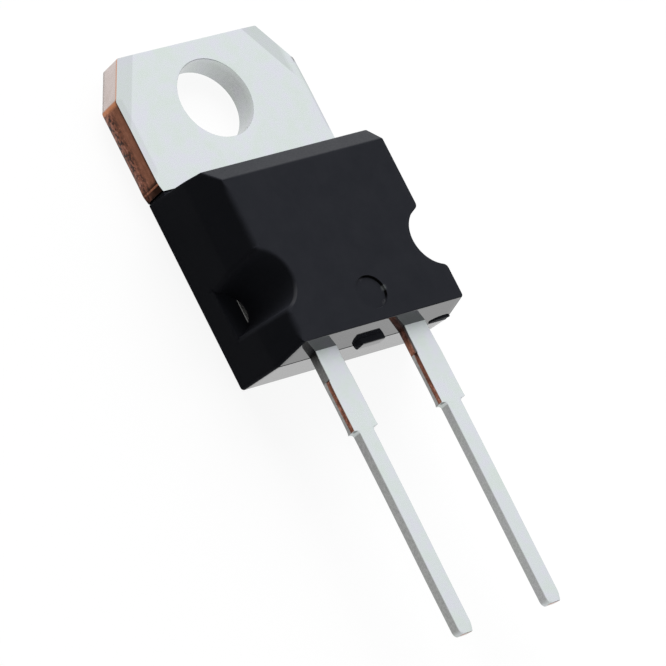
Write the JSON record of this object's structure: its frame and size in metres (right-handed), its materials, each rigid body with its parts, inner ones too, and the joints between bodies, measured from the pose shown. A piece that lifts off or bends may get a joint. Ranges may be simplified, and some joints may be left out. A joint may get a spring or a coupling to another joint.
{
  "type": "high voltage diode",
  "caption": "High voltage diode: black moulded body with half-round side notches on a bright metal mounting tab with a screw hole, and flat leads that enter a circuit board.",
  "frame": {"origin": "on the axis of the tab's hole, in the plane of the back face that it lies on", "axes": "+X to the right seen from the front, +Y along the package to the tab's top edge, +Z out of the front face"},
  "size_m": [0.01, 0.0289, 0.0045],
  "materials": {
    "epoxy": "fine matte front and sides, glossy lower end",
    "tinned_copper": "satin tin plate, bare copper on cut edges",
    "silicon": "polished",
    "solder": "dull",
    "wire": "drawn"
  },
  "bodies": {
    "root": {"mould_body": "epoxy", "mounting_tab": "tinned_copper", "cathode_lead": "tinned_copper", "anode_lead": "tinned_copper", "diode_chip": "silicon", "chip_solder": "solder", "bond_wire_left": "wire", "bond_wire_right": "wire"}
  },
  "joints": []
}
